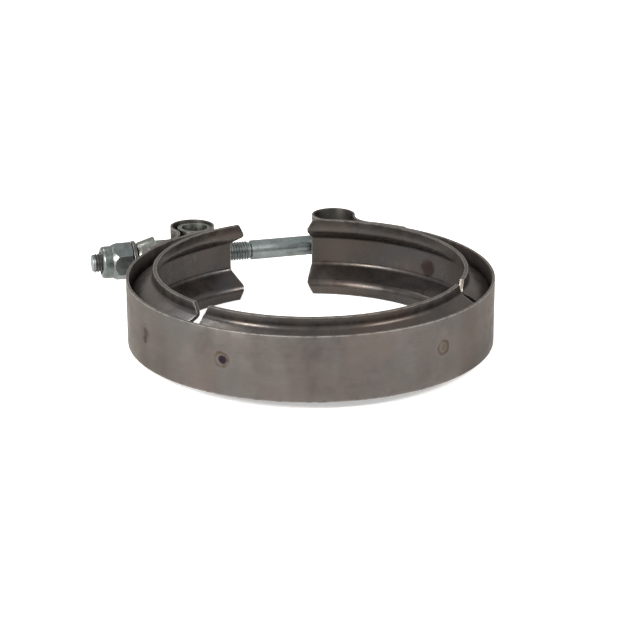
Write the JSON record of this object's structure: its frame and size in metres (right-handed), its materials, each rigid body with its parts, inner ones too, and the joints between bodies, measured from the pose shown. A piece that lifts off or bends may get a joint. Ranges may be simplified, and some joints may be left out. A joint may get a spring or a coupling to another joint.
{
  "type": "v band clamp",
  "caption": "Ring clamp for flanged pipe: a sprung steel strip carrying V-section retainers, with looped ends drawn together by a T-bolt, a trunnion and a lock nut.",
  "frame": {"origin": "centre of the ring, on its axis and half way between the strip's two edges", "axes": "+Z along the ring's axis; +Y from the ring's centre towards the latch gap; +X along the T-bolt from its nut towards its head"},
  "size_m": [0.1155, 0.1232, 0.0258],
  "materials": {
    "strip_steel": "rolled stainless strip, mottled",
    "retainer_steel": "roll-formed stainless sheet, lightly scratched",
    "plated_bolt": "dull zinc plate",
    "plated_trunnion": "dull zinc plate",
    "plated_nut": "zinc plate",
    "nylon": "moulded"
  },
  "bodies": {
    "clamp": {"band": "strip_steel", "retainer_front": "retainer_steel", "retainer_left": "retainer_steel", "retainer_right": "retainer_steel", "t_bolt": "plated_bolt", "trunnion": "plated_trunnion"},
    "washer_ride": {"washer": "plated_nut"},
    "nut": {"lock_nut": "plated_nut", "nut_insert": "nylon"}
  },
  "joints": [
    {"name": "nut_travel", "type": "slide", "parent": "clamp", "child": "washer_ride", "axis": [-1, 0, 0], "range_m": [0, 0.0118]},
    {"name": "nut_turn", "type": "hinge", "parent": "washer_ride", "child": "nut", "pos_m": [-0.05, 0.05879, 0], "axis": [-1, 0, 0], "range_deg": [0, 4680]}
  ],
  "couplings": [
    {"joint": "nut_travel", "follows": "nut_turn", "m_per_rad": 0.00014438}
  ]
}
